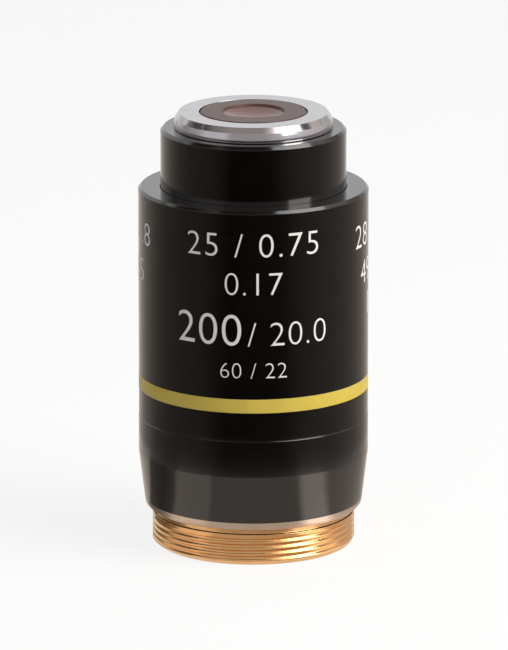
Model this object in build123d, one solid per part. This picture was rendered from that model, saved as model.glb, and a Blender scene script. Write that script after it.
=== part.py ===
from build123d import *

import os
from dataclasses import dataclass
from math import copysign, sqrt

# A tenfold plan objective with the M25 x 0.75 fitting, standing on the end of its thread.
# Millimetres. The optical axis is Z, the thread end is at height 0 and the front lens looks up.
# Everything but the screws and slots is turned, so most values are radii or heights on that axis.

# Fitting thread and the mount behind it
THREAD_RADIUS = 12.5
THREAD_LENGTH = 3.9
THREAD_CHAMFER = 0.4
RELIEF_DEPTH = 0.3
RELIEF_LENGTH = 0.7
REAR_BORE_WALL = 2.7
SPIGOT_WALL = 1.2

# Tapered collar between the thread and the sleeve
COLLAR_HEIGHT = 11.6
COLLAR_FOOT_WALL = 0.73
COLLAR_FOOT_CHAMFER_WIDTH = 0.4
COLLAR_FOOT_CHAMFER_HEIGHT = 0.45
COLLAR_BRIGHT_CUT_WIDTH = 0.11
COLLAR_BRIGHT_CUT_HEIGHT = 0.57
COLLAR_BAND_HEIGHT = 4.6
COLLAR_RECESS_DEPTH = 0.25
SEAM_CHAMFER = 0.1

# Ring that sets the distance from the shoulder to the specimen
SHIM_THICKNESS = 0.3

# Barrel that carries the lenses
TAIL_WALL = 2.33
TAIL_LENGTH = 7.6
TAIL_GAP = 0.6
FLANGE_WIDTH = 1.23
FLANGE_HEIGHT = 2.4
NOSE_WALL = 2.8
NOSE_LENGTH = 7.38
NOSE_CHAMFER = 0.4
NOSE_LIP_THICKNESS = 1.4

# Outer sleeve and its colour ring
SLEEVE_WALL = 1.48
SLEEVE_LENGTH = 28.8
SLEEVE_LIP_THICKNESS = 1.5
SLEEVE_CHAMFER = 0.35
RING_GROOVE_HEIGHT = 1.73
RING_GROOVE_DEPTH = 0.2
RING_GROOVE_FROM_SEAM = 3.57

# Bright ring screwed into the nose
FRONT_RING_WIDTH = 3.1
FRONT_RING_HEIGHT = 1.92
FRONT_RING_BEVEL_WIDTH = 0.64
FRONT_RING_BEVEL_HEIGHT = 0.68
FRONT_RING_SKIRT_WALL = 1.27
FRONT_RING_SKIRT_LENGTH = 2.0

# Front lens and its cell
FRONT_CELL_FLANGE_WIDTH = 1.98
FRONT_CELL_FLANGE_HEIGHT = 0.7
FRONT_CELL_NECK_WALL = 2.0
FRONT_CELL_PROUD = 0.05
FRONT_CELL_CHAMFER = 0.25
BEZEL_OVERLAP = 0.95
BEZEL_DEPTH = 0.25
FRONT_LENS_RIM = 0.8
FRONT_LENS_TOP_CURVE = -16.0
FRONT_LENS_BOTTOM_CURVE = -13.5
FRONT_LENS_THICKNESS = 3.9

# Spacers, stop and lock ring behind the lens groups
SPACER_WALL = 1.4
SHORT_SPACER_LENGTH = 3.2
LONG_SPACER_LENGTH = 8.0
STOP_THICKNESS = 0.5
STOP_WALL = 3.6
LOCK_RING_WALL = 2.0
LOCK_RING_HEIGHT = 2.2
LOCK_SLOT_WIDTH = 1.2
LOCK_SLOT_DEPTH = 1.0

# Screws that centre the third group through the barrel wall
CENTRING_SCREW_COUNT = 3
CENTRING_SCREW_RADIUS = 1.0
CENTRING_SCREW_SUNK = 0.3
CENTRING_SLOT_WIDTH = 0.35
CENTRING_SLOT_DEPTH = 0.5

# Clearances: a screwed or sliding fit, the cement between two lenses, a screw in its hole
FIT = 0.02
THREAD_FIT = 0.05
RING_FIT = 0.06
CEMENT = 0.03
SCREW_FIT = 0.05


# A lens face with no curve
FLAT = 0.0


@dataclass(frozen=True)
class LensGroup:
    """Two cemented lenses in one cell. Curves are radii, positive where the surface bulges upward."""

    cell_wall: float
    seat_width: float
    seat_thickness: float
    rim_depth: float
    top_curve: float
    joint_curve: float
    bottom_curve: float
    upper_thinnest: float
    lower_thinnest: float


SECOND_GROUP = LensGroup(
    cell_wall=3.4,
    seat_width=0.45,
    seat_thickness=0.9,
    rim_depth=0.3,
    top_curve=FLAT,
    joint_curve=11.4,
    bottom_curve=-18.5,
    upper_thinnest=1.2,
    lower_thinnest=1.2,
)
THIRD_GROUP = LensGroup(
    cell_wall=2.4,
    seat_width=0.5,
    seat_thickness=0.7,
    rim_depth=0.3,
    top_curve=25.4,
    joint_curve=-12.2,
    bottom_curve=FLAT,
    upper_thinnest=0.9,
    lower_thinnest=1.3,
)
REAR_GROUP = LensGroup(
    cell_wall=2.0,
    seat_width=0.5,
    seat_thickness=0.7,
    rim_depth=0.3,
    top_curve=12.0,
    joint_curve=FLAT,
    bottom_curve=12.2,
    upper_thinnest=1.4,
    lower_thinnest=1.4,
)

# Radii, from the thread inward to the lens stack and then outward to the sleeve
spigot_radius = THREAD_RADIUS - RELIEF_DEPTH
spigot_bore = spigot_radius - SPIGOT_WALL
rear_bore = THREAD_RADIUS - REAR_BORE_WALL
tail_radius = spigot_bore - THREAD_FIT
barrel_bore = tail_radius - TAIL_WALL
stack_radius = barrel_bore - FIT
nose_radius = barrel_bore + NOSE_WALL
flange_radius = nose_radius + FLANGE_WIDTH
sleeve_bore = flange_radius + THREAD_FIT
sleeve_radius = sleeve_bore + SLEEVE_WALL
groove_radius = sleeve_radius - RING_GROOVE_DEPTH
collar_bore = spigot_radius + FIT
collar_foot_radius = collar_bore + COLLAR_FOOT_WALL
collar_recess_radius = THREAD_RADIUS + THREAD_FIT
bright_cut_radius = collar_foot_radius + COLLAR_FOOT_CHAMFER_WIDTH
neck_radius = stack_radius - FRONT_CELL_FLANGE_WIDTH
front_lens_radius = neck_radius - FRONT_CELL_NECK_WALL
bezel_radius = front_lens_radius - BEZEL_OVERLAP
front_ring_hole = neck_radius + RING_FIT
front_ring_radius = front_ring_hole + FRONT_RING_WIDTH
skirt_radius = front_ring_hole + FRONT_RING_SKIRT_WALL
spacer_bore = stack_radius - SPACER_WALL
stop_radius = stack_radius - STOP_WALL
lock_ring_bore = stack_radius - LOCK_RING_WALL

# Heights of the outer pieces, from the thread end up
shoulder_height = THREAD_LENGTH + RELIEF_LENGTH
bright_cut_height = shoulder_height + COLLAR_FOOT_CHAMFER_HEIGHT
seam_height = shoulder_height + COLLAR_HEIGHT
mount_top = seam_height - SHIM_THICKNESS
tail_bottom = seam_height - TAIL_LENGTH
mount_step = tail_bottom - TAIL_GAP
flange_top = seam_height + FLANGE_HEIGHT
groove_bottom = seam_height + RING_GROOVE_FROM_SEAM
groove_top = groove_bottom + RING_GROOVE_HEIGHT
sleeve_top = seam_height + SLEEVE_LENGTH
nose_top = sleeve_top + NOSE_LENGTH
skirt_bottom = nose_top - FRONT_RING_SKIRT_LENGTH
lip_bottom = skirt_bottom - NOSE_LIP_THICKNESS
front_ring_top = nose_top + FRONT_RING_HEIGHT
front_cell_top = front_ring_top + FRONT_CELL_PROUD


def turned(*corners):
    """Solid turned about the axis from a closed half-section of (radius, height) corners."""
    outline = Polyline([(radius, 0, height) for radius, height in corners], close=True)
    return revolve(make_face(outline), Axis.Z)


def drop(curve, radius):
    """Fall of a spherical surface from its vertex to this radius; negative where it rises."""
    if curve == FLAT:
        return 0.0
    return copysign(abs(curve) - sqrt(curve**2 - radius**2), curve)


def lens_face(vertex, curve, radius):
    """Half-section of one lens face, from the axis out: a line if it is flat, else an arc."""
    start = (0, 0, vertex)
    end = (radius, 0, vertex - drop(curve, radius))
    if curve == FLAT:
        return Line(start, end)
    return ThreePointArc(start, (radius / 2, 0, vertex - drop(curve, radius / 2)), end)


def edge_thickness(thinnest, top_curve, bottom_curve, radius):
    """Edge of a lens that is this thick at its thinnest place, which is its edge or its centre."""
    return thinnest + max(0.0, drop(bottom_curve, radius) - drop(top_curve, radius))


def lens(top_edge, bottom_edge, radius, top_curve, bottom_curve, rim=0.0):
    """Lens with ground faces between two edge heights, with a flat rim round its top face."""
    clear = radius - rim
    top_vertex = top_edge + drop(top_curve, clear)
    bottom_vertex = bottom_edge + drop(bottom_curve, radius)
    sides = [
        lens_face(bottom_vertex, bottom_curve, radius),
        Line((radius, 0, bottom_edge), (radius, 0, top_edge)),
        lens_face(top_vertex, top_curve, clear),
        Line((0, 0, top_vertex), (0, 0, bottom_vertex)),
    ]
    if rim > 0:
        sides.append(Line((radius, 0, top_edge), (clear, 0, top_edge)))
    return revolve(make_face(sides), Axis.Z)


def threaded_mount():
    """Brass fitting: thread blank, relief neck and the spigot that carries barrel and collar."""
    return turned(
        (rear_bore, 0),
        (THREAD_RADIUS - THREAD_CHAMFER, 0),
        (THREAD_RADIUS, THREAD_CHAMFER),
        (THREAD_RADIUS, THREAD_LENGTH),
        (spigot_radius, THREAD_LENGTH),
        (spigot_radius, mount_top),
        (spigot_bore, mount_top),
        (spigot_bore, mount_step),
        (rear_bore, mount_step),
    )


def base_collar():
    """Tapered black collar, with a chamfered foot that is cut bright.

    The bright cut goes on above the chamfer, a little steeper than the taper. The lower face is
    recessed round the neck, so that it bears only outside the thread.
    """
    return turned(
        (collar_bore, shoulder_height + COLLAR_RECESS_DEPTH),
        (collar_recess_radius, shoulder_height + COLLAR_RECESS_DEPTH),
        (collar_recess_radius, shoulder_height),
        (collar_foot_radius, shoulder_height),
        (bright_cut_radius, bright_cut_height),
        (bright_cut_radius + COLLAR_BRIGHT_CUT_WIDTH, bright_cut_height + COLLAR_BRIGHT_CUT_HEIGHT),
        (sleeve_radius, seam_height - COLLAR_BAND_HEIGHT),
        (sleeve_radius, seam_height - SEAM_CHAMFER),
        (sleeve_radius - SEAM_CHAMFER, seam_height),
        (collar_bore, seam_height),
    )


def parfocal_shim():
    """Flat ring between the top of the spigot and the barrel's flange."""
    return turned(
        (spigot_bore, mount_top),
        (spigot_radius, mount_top),
        (spigot_radius, seam_height),
        (spigot_bore, seam_height),
    )


def outer_sleeve():
    """Black outer sleeve with a lip round the nose and a groove for the colour ring."""
    return turned(
        (sleeve_bore, seam_height),
        (sleeve_radius - SEAM_CHAMFER, seam_height),
        (sleeve_radius, seam_height + SEAM_CHAMFER),
        (sleeve_radius, groove_bottom),
        (groove_radius, groove_bottom),
        (groove_radius, groove_top),
        (sleeve_radius, groove_top),
        (sleeve_radius, sleeve_top - SLEEVE_CHAMFER),
        (sleeve_radius - SLEEVE_CHAMFER, sleeve_top),
        (nose_radius + RING_FIT, sleeve_top),
        (nose_radius + RING_FIT, sleeve_top - SLEEVE_LIP_THICKNESS),
        (sleeve_bore, sleeve_top - SLEEVE_LIP_THICKNESS),
    )


def colour_ring():
    """Ring of yellow enamel that fills the groove flush."""
    return turned(
        (groove_radius + FIT, groove_bottom),
        (sleeve_radius, groove_bottom),
        (sleeve_radius, groove_top),
        (groove_radius + FIT, groove_top),
    )


def barrel():
    """Inner barrel: tail in the mount, flange under the sleeve, nose, and the bore for the stack."""
    blank = turned(
        (barrel_bore, tail_bottom),
        (tail_radius, tail_bottom),
        (tail_radius, seam_height),
        (flange_radius, seam_height),
        (flange_radius, flange_top),
        (nose_radius, flange_top),
        (nose_radius, nose_top - NOSE_CHAMFER),
        (nose_radius - NOSE_CHAMFER, nose_top),
        (skirt_radius + THREAD_FIT, nose_top),
        (skirt_radius + THREAD_FIT, skirt_bottom),
        (neck_radius + RING_FIT, skirt_bottom),
        (neck_radius + RING_FIT, lip_bottom),
        (barrel_bore, lip_bottom),
    )
    return blank - centring_row(CENTRING_SCREW_RADIUS + SCREW_FIT, 0, flange_radius)


def front_ring():
    """Bright ring on the nose, with a bevelled rim and a skirt that screws into the barrel."""
    return turned(
        (front_ring_hole, skirt_bottom),
        (skirt_radius, skirt_bottom),
        (skirt_radius, nose_top),
        (front_ring_radius, nose_top),
        (front_ring_radius, front_ring_top - FRONT_RING_BEVEL_HEIGHT),
        (front_ring_radius - FRONT_RING_BEVEL_WIDTH, front_ring_top),
        (front_ring_hole, front_ring_top),
    )


def front_lens_cell():
    """Black cell: a flange under the nose lip and a neck that ends in the bezel of the front lens."""
    rim_height = front_cell_top - BEZEL_DEPTH
    return turned(
        (front_lens_radius + FIT, stack_top),
        (stack_radius, stack_top),
        (stack_radius, lip_bottom),
        (neck_radius, lip_bottom),
        (neck_radius, front_cell_top - FRONT_CELL_CHAMFER),
        (neck_radius - FRONT_CELL_CHAMFER, front_cell_top),
        (bezel_radius + BEZEL_DEPTH, front_cell_top),
        (bezel_radius, rim_height),
        (front_lens_radius + FIT, rim_height),
    )


def front_lens():
    """Thick meniscus, hollow toward the specimen, that seats against the bezel."""
    rim_height = front_cell_top - BEZEL_DEPTH
    return lens(
        rim_height,
        rim_height - FRONT_LENS_THICKNESS,
        front_lens_radius,
        FRONT_LENS_TOP_CURVE,
        FRONT_LENS_BOTTOM_CURVE,
        rim=FRONT_LENS_RIM,
    )


@dataclass(frozen=True)
class SeatedGroup:
    """Where a lens group lies once its cell hangs from a given height in the stack."""

    group: LensGroup
    cell_top: float

    @property
    def radius(self):
        """Radius of both lenses."""
        return stack_radius - self.group.cell_wall

    @property
    def top_edge(self):
        """Height of the upper lens's top edge."""
        return self.cell_top - self.group.rim_depth

    @property
    def joint_edge(self):
        """Height of the cemented joint at the lens edge."""
        group = self.group
        return self.top_edge - edge_thickness(
            group.upper_thinnest, group.top_curve, group.joint_curve, self.radius
        )

    @property
    def bottom_edge(self):
        """Height of the lower lens's bottom edge."""
        group = self.group
        return self.joint_edge - edge_thickness(
            group.lower_thinnest, group.joint_curve, group.bottom_curve, self.radius
        )

    @property
    def seat_radius(self):
        """Radius of the hole inside the seat."""
        return self.radius - self.group.seat_width

    @property
    def seat_height(self):
        """Height of the seat, which touches the lower lens where that reaches lowest over it."""
        vertex = self.bottom_edge + drop(self.group.bottom_curve, self.radius)
        over_hole = vertex - drop(self.group.bottom_curve, self.seat_radius)
        return min(over_hole, self.bottom_edge) - CEMENT

    @property
    def cell_bottom(self):
        """Height of the cell's lower face, on which the next piece of the stack seats."""
        return self.seat_height - self.group.seat_thickness

    def cell(self):
        """Black ring that holds the pair from below and all round."""
        return turned(
            (self.seat_radius, self.cell_bottom),
            (stack_radius, self.cell_bottom),
            (stack_radius, self.cell_top),
            (self.radius + FIT, self.cell_top),
            (self.radius + FIT, self.seat_height),
            (self.seat_radius, self.seat_height),
        )

    def upper_lens(self):
        """Lens on the specimen side of the joint."""
        group = self.group
        return lens(
            self.top_edge,
            self.joint_edge + CEMENT,
            self.radius,
            group.top_curve,
            group.joint_curve,
        )

    def lower_lens(self):
        """Lens on the thread side of the joint."""
        group = self.group
        return lens(
            self.joint_edge,
            self.bottom_edge,
            self.radius,
            group.joint_curve,
            group.bottom_curve,
        )


# The lens stack, from the lip in the nose down
stack_top = lip_bottom - FRONT_CELL_FLANGE_HEIGHT
second = SeatedGroup(SECOND_GROUP, stack_top)
third = SeatedGroup(THIRD_GROUP, second.cell_bottom - SHORT_SPACER_LENGTH)
rear = SeatedGroup(REAR_GROUP, third.cell_bottom - LONG_SPACER_LENGTH)
stop_bottom = rear.cell_bottom - STOP_THICKNESS
lock_bottom = stop_bottom - LOCK_RING_HEIGHT
centring_height = (third.cell_top + third.cell_bottom) / 2


def spacer(top, bottom):
    """Plain tube that holds two cells apart."""
    return turned(
        (spacer_bore, bottom), (stack_radius, bottom), (stack_radius, top), (spacer_bore, top)
    )


def aperture_stop():
    """Thin disc whose hole bounds the beam behind the last lens."""
    return turned(
        (stop_radius, stop_bottom),
        (stack_radius, stop_bottom),
        (stack_radius, rear.cell_bottom),
        (stop_radius, rear.cell_bottom),
    )


def stack_lock_ring():
    """Ring screwed up the bore against the stack, with a spanner slot across its lower face."""
    ring = turned(
        (lock_ring_bore, lock_bottom),
        (stack_radius, lock_bottom),
        (stack_radius, stop_bottom),
        (lock_ring_bore, stop_bottom),
    )
    slot = Pos(0, 0, lock_bottom) * Box(4 * stack_radius, LOCK_SLOT_WIDTH, 2 * LOCK_SLOT_DEPTH)
    return ring - slot


def centring_row(radius, start, end):
    """Round pins of one size that point outward from the axis, level with the third group's cell."""
    pin = Rot(0, 90, 0) * Pos(0, 0, (start + end) / 2) * Cylinder(radius, end - start)
    return Part() + [
        Pos(0, 0, centring_height) * Rot(0, 0, turn) * pin
        for turn in (index * 360 / CENTRING_SCREW_COUNT for index in range(CENTRING_SCREW_COUNT))
    ]


def centring_screws():
    """Slotted grub screws in the barrel wall that bear on the third group's cell."""
    outer = nose_radius - CENTRING_SCREW_SUNK
    slots = [
        Pos(0, 0, centring_height)
        * Rot(0, 0, index * 360 / CENTRING_SCREW_COUNT)
        * Pos(outer, 0, 0)
        * Box(2 * CENTRING_SLOT_DEPTH, CENTRING_SLOT_WIDTH, 4 * CENTRING_SCREW_RADIUS)
        for index in range(CENTRING_SCREW_COUNT)
    ]
    return centring_row(CENTRING_SCREW_RADIUS, stack_radius + SCREW_FIT, outer) - slots


PIECES = {
    "threaded_mount": threaded_mount(),
    "base_collar": base_collar(),
    "parfocal_shim": parfocal_shim(),
    "outer_sleeve": outer_sleeve(),
    "colour_ring": colour_ring(),
    "barrel": barrel(),
    "front_ring": front_ring(),
    "front_lens_cell": front_lens_cell(),
    "front_lens": front_lens(),
    "second_group_cell": second.cell(),
    "second_group_flint_lens": second.upper_lens(),
    "second_group_crown_lens": second.lower_lens(),
    "third_group_cell": third.cell(),
    "third_group_crown_lens": third.upper_lens(),
    "third_group_flint_lens": third.lower_lens(),
    "rear_group_cell": rear.cell(),
    "rear_group_flint_lens": rear.upper_lens(),
    "rear_group_crown_lens": rear.lower_lens(),
    "short_spacer": spacer(second.cell_bottom, third.cell_top),
    "long_spacer": spacer(third.cell_bottom, rear.cell_top),
    "aperture_stop": aperture_stop(),
    "stack_lock_ring": stack_lock_ring(),
    "centring_screws": centring_screws(),
}

os.makedirs("parts", exist_ok=True)
for name, piece in PIECES.items():
    export_step(piece, f"parts/{name}.step")
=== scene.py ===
"""Looks of a tenfold microscope objective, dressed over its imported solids.

The objective stands on the end of its brass thread with the front lens up. Its axis is Z and the
camera looks along +Y. Sizes are written in millimetres and turned to metres where a mesh is made.
"""

import logging
import math
from abc import ABC, abstractmethod
from collections.abc import Sequence
from dataclasses import dataclass
from enum import Enum
from functools import cache

import bpy
from mathutils import Matrix, Vector


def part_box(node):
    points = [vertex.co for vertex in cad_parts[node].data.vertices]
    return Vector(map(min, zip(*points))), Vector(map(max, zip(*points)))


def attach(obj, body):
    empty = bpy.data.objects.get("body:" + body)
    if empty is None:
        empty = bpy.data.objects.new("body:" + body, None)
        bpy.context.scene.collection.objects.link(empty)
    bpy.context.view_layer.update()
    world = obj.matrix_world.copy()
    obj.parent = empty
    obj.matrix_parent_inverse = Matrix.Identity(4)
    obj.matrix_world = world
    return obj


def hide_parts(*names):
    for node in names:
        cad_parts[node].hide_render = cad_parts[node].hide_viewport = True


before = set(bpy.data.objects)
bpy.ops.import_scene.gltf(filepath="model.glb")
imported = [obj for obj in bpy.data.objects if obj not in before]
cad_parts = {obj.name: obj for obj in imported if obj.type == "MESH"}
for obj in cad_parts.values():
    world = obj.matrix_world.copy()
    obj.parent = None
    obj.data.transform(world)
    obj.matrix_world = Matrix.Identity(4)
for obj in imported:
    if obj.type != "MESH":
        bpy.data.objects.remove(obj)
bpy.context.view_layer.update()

MM = 0.001
BODY = "root"
GLOW = "glow"
# How much more a feed mark's radius counts than its height
RADIUS_WEIGHT = 1.7
# Most of a noise lies between these two
NOISE_LOW = 0.3
NOISE_HIGH = 0.7

logging.basicConfig(level=logging.INFO, format="%(message)s")
log = logging.getLogger("objective")


def linear(hex_colour: str) -> tuple[float, float, float, float]:
    """Turns an sRGB hex colour to the linear colour that Blender's sockets hold.

    Args:
        hex_colour: Colour as "#RRGGBB".

    Returns:
        Red, green, blue and an alpha of 1.
    """
    channels = [int(hex_colour[start : start + 2], 16) / 255 for start in (1, 3, 5)]
    curved = [c / 12.92 if c <= 0.04045 else ((c + 0.055) / 1.055) ** 2.4 for c in channels]
    return (*curved, 1.0)


def add_node(
    tree: bpy.types.NodeTree, kind: str, settings: dict | None = None, inputs: dict | None = None
) -> bpy.types.Node:
    """Adds a node with its settings and inputs.

    Args:
        tree: Tree that takes the node.
        kind: Node type, by its Blender identifier.
        settings: Values of the node's own properties, by name.
        inputs: What each input holds, by name or index: a value, or another node's output.

    Returns:
        The new node.
    """
    node = tree.nodes.new(kind)
    for name, value in (settings or {}).items():
        setattr(node, name, value)
    for key, value in (inputs or {}).items():
        if isinstance(value, bpy.types.NodeSocket):
            tree.links.new(value, node.inputs[key])
        else:
            node.inputs[key].default_value = value
    return node


@dataclass(frozen=True)
class Extent:
    """Radius and heights of a turned node, in millimetres."""

    radius: float
    bottom: float
    top: float

    @classmethod
    def of(cls, node: str) -> "Extent":
        """Reads a node's extent from the frame."""
        low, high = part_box(node)
        return cls(high.x / MM, low.z / MM, high.z / MM)


class Facing(Enum):
    """Which way a lens face looks along the axis."""

    UP = 1.0
    DOWN = -1.0


@dataclass(frozen=True)
class Finish(ABC):
    """Finish of one surface, as a procedural material."""

    name: str

    @abstractmethod
    def surface(self, tree: bpy.types.NodeTree, place: bpy.types.NodeSocket) -> bpy.types.Node:
        """Adds the finish's shader.

        Args:
            tree: Tree of the material.
            place: Object coordinates, in metres.

        Returns:
            The node whose first output is the surface shader.
        """

    @cache
    def material(self) -> bpy.types.Material:
        """Returns the finish's material, which is made on its first use."""
        made = bpy.data.materials.new(self.name)
        made.use_nodes = True
        tree = made.node_tree
        tree.nodes.clear()
        place = add_node(tree, "ShaderNodeTexCoord").outputs["Object"]
        shader = self.surface(tree, place)
        add_node(tree, "ShaderNodeOutputMaterial", inputs={"Surface": shader.outputs[0]})
        return made


def round_the_axis(tree: bpy.types.NodeTree, place: bpy.types.NodeSocket) -> bpy.types.NodeSocket:
    """Adds the direction that a turned surface's marks run in, which is round the Z axis.

    Args:
        tree: Tree of the material.
        place: Object coordinates.

    Returns:
        Socket with the direction.
    """
    cross = add_node(
        tree, "ShaderNodeVectorMath", {"operation": "CROSS_PRODUCT"}, {0: (0.0, 0.0, 1.0), 1: place}
    )
    return add_node(
        tree, "ShaderNodeVectorMath", {"operation": "NORMALIZE"}, {0: cross.outputs[0]}
    ).outputs[0]


def feed_marks(
    tree: bpy.types.NodeTree, place: bpy.types.NodeSocket, spacing_mm: float
) -> bpy.types.NodeSocket:
    """Adds the fine uneven rings that a lathe tool leaves, which follow radius and height alone.

    Args:
        tree: Tree of the material.
        place: Object coordinates, in metres.
        spacing_mm: Mean distance between two rings.

    Returns:
        Socket with a value from 0 to 1.
    """
    split = add_node(tree, "ShaderNodeSeparateXYZ", inputs={0: place})
    flat = add_node(
        tree, "ShaderNodeCombineXYZ", inputs={0: split.outputs["X"], 1: split.outputs["Y"]}
    )
    radius = add_node(
        tree, "ShaderNodeVectorMath", {"operation": "LENGTH"}, {0: flat.outputs[0]}
    )
    # A chamfer of 45 degrees keeps the sum of radius and height, so the two are weighted unevenly
    travel = add_node(
        tree,
        "ShaderNodeMath",
        {"operation": "MULTIPLY_ADD"},
        {0: radius.outputs["Value"], 1: RADIUS_WEIGHT, 2: split.outputs["Z"]},
    )
    rings = add_node(
        tree,
        "ShaderNodeTexNoise",
        {"noise_dimensions": "1D"},
        {"W": travel.outputs[0], "Scale": 1 / (spacing_mm * MM), "Detail": 2.0},
    )
    return rings.outputs[0]


def mottling(
    tree: bpy.types.NodeTree, place: bpy.types.NodeSocket, size_mm: float, detail: float
) -> bpy.types.NodeSocket:
    """Adds an even noise for the small differences that any real surface has.

    Args:
        tree: Tree of the material.
        place: Object coordinates, in metres.
        size_mm: Size of one patch.
        detail: How many finer layers the noise has.

    Returns:
        Socket with a value from 0 to 1.
    """
    noise = add_node(
        tree,
        "ShaderNodeTexNoise",
        inputs={"Vector": place, "Scale": 1 / (size_mm * MM), "Detail": detail},
    )
    return noise.outputs[0]


def spread(
    tree: bpy.types.NodeTree, value: bpy.types.NodeSocket, low: float, high: float
) -> bpy.types.NodeSocket:
    """Maps the middle of a noise's range to a range of its own.

    Args:
        tree: Tree of the material.
        value: Noise from 0 to 1.
        low: What its low end becomes.
        high: What its high end becomes.

    Returns:
        Socket with the mapped value.
    """
    mapped = add_node(
        tree,
        "ShaderNodeMapRange",
        inputs={
            "Value": value,
            "From Min": NOISE_LOW,
            "From Max": NOISE_HIGH,
            "To Min": low,
            "To Max": high,
        },
    )
    return mapped.outputs[0]


def blend_colours(
    tree: bpy.types.NodeTree, factor: bpy.types.NodeSocket, first: str, second: str
) -> bpy.types.NodeSocket:
    """Adds a mix of two colours.

    Args:
        tree: Tree of the material.
        factor: 0 for the first colour and 1 for the second.
        first: Hex colour.
        second: Hex colour.

    Returns:
        Socket with the mixed colour.
    """
    mix = add_node(
        tree,
        "ShaderNodeMix",
        {"data_type": "RGBA"},
        {"Factor": factor, 6: linear(first), 7: linear(second)},
    )
    return mix.outputs[2]


@dataclass(frozen=True)
class DarkCoat(Finish):
    """Black coat on turned metal: dyed anodising on aluminium, or black plating on brass.

    The dye sits in the pores of a hard clear oxide, so what the eye gets is a soft, slightly warm
    sheen over near black, with the tool's rings just visible in it.
    """

    colour: str
    worn_colour: str
    roughness: float
    ior: float
    ring_depth_mm: float

    # Real feed marks are about 0.05 mm apart, and are drawn three times as coarse so that they show
    ring_spacing_mm: float = 0.15
    patch_size_mm: float = 3.0
    unevenness: float = 0.03

    def surface(self, tree: bpy.types.NodeTree, place: bpy.types.NodeSocket) -> bpy.types.Node:
        """Adds the coat's shader; see Finish.surface."""
        rings = feed_marks(tree, place, self.ring_spacing_mm)
        patches = mottling(tree, place, size_mm=self.patch_size_mm, detail=3.0)
        smoothest = self.roughness - self.unevenness
        roughest = self.roughness + self.unevenness
        relief = add_node(
            tree,
            "ShaderNodeBump",
            inputs={"Strength": 1.0, "Distance": self.ring_depth_mm * MM, "Height": rings},
        )
        return add_node(
            tree,
            "ShaderNodeBsdfPrincipled",
            inputs={
                "Base Color": blend_colours(
                    tree, spread(tree, patches, 0.0, 1.0), self.colour, self.worn_colour
                ),
                "Roughness": spread(tree, rings, smoothest, roughest),
                "IOR": self.ior,
                "Normal": relief.outputs[0],
            },
        )


@dataclass(frozen=True)
class TurnedMetal(Finish):
    """Bare or bright-plated metal with the rings of the lathe tool in it."""

    colour: str
    stained_colour: str
    roughness: float
    anisotropy: float
    ring_depth_mm: float
    # Real feed marks are finer than this, and are drawn coarser so that they show
    ring_spacing_mm: float
    stain_size_mm: float = 2.2
    polish: float = 0.02
    tarnish: float = 0.03

    def surface(self, tree: bpy.types.NodeTree, place: bpy.types.NodeSocket) -> bpy.types.Node:
        """Adds the metal's shader; see Finish.surface."""
        rings = feed_marks(tree, place, self.ring_spacing_mm)
        stains = mottling(tree, place, size_mm=self.stain_size_mm, detail=4.0)
        smoothest = self.roughness - self.polish
        roughest = self.roughness + self.tarnish
        relief = add_node(
            tree,
            "ShaderNodeBump",
            inputs={"Strength": 1.0, "Distance": self.ring_depth_mm * MM, "Height": rings},
        )
        return add_node(
            tree,
            "ShaderNodeBsdfPrincipled",
            inputs={
                "Base Color": blend_colours(
                    tree, spread(tree, stains, 0.0, 1.0), self.colour, self.stained_colour
                ),
                "Metallic": 1.0,
                "Roughness": spread(tree, stains, smoothest, roughest),
                "Anisotropic": self.anisotropy,
                "Tangent": round_the_axis(tree, place),
                "Normal": relief.outputs[0],
            },
        )


@dataclass(frozen=True)
class Enamel(Finish):
    """Baked enamel or ink: an even coat of pigment in a smooth binder, with a faint orange peel."""

    colour: str
    thin_colour: str
    roughness: float
    ior: float = 1.5
    patch_size_mm: float = 2.5
    peel_size_mm: float = 0.6
    peel_depth_mm: float = 0.004

    def surface(self, tree: bpy.types.NodeTree, place: bpy.types.NodeSocket) -> bpy.types.Node:
        """Adds the enamel's shader; see Finish.surface."""
        patches = mottling(tree, place, size_mm=self.patch_size_mm, detail=2.0)
        peel = mottling(tree, place, size_mm=self.peel_size_mm, detail=1.0)
        relief = add_node(
            tree,
            "ShaderNodeBump",
            inputs={"Strength": 1.0, "Distance": self.peel_depth_mm * MM, "Height": peel},
        )
        return add_node(
            tree,
            "ShaderNodeBsdfPrincipled",
            inputs={
                "Base Color": blend_colours(
                    tree, spread(tree, patches, 0.0, 1.0), self.colour, self.thin_colour
                ),
                "Roughness": self.roughness,
                "IOR": self.ior,
                "Normal": relief.outputs[0],
            },
        )


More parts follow.
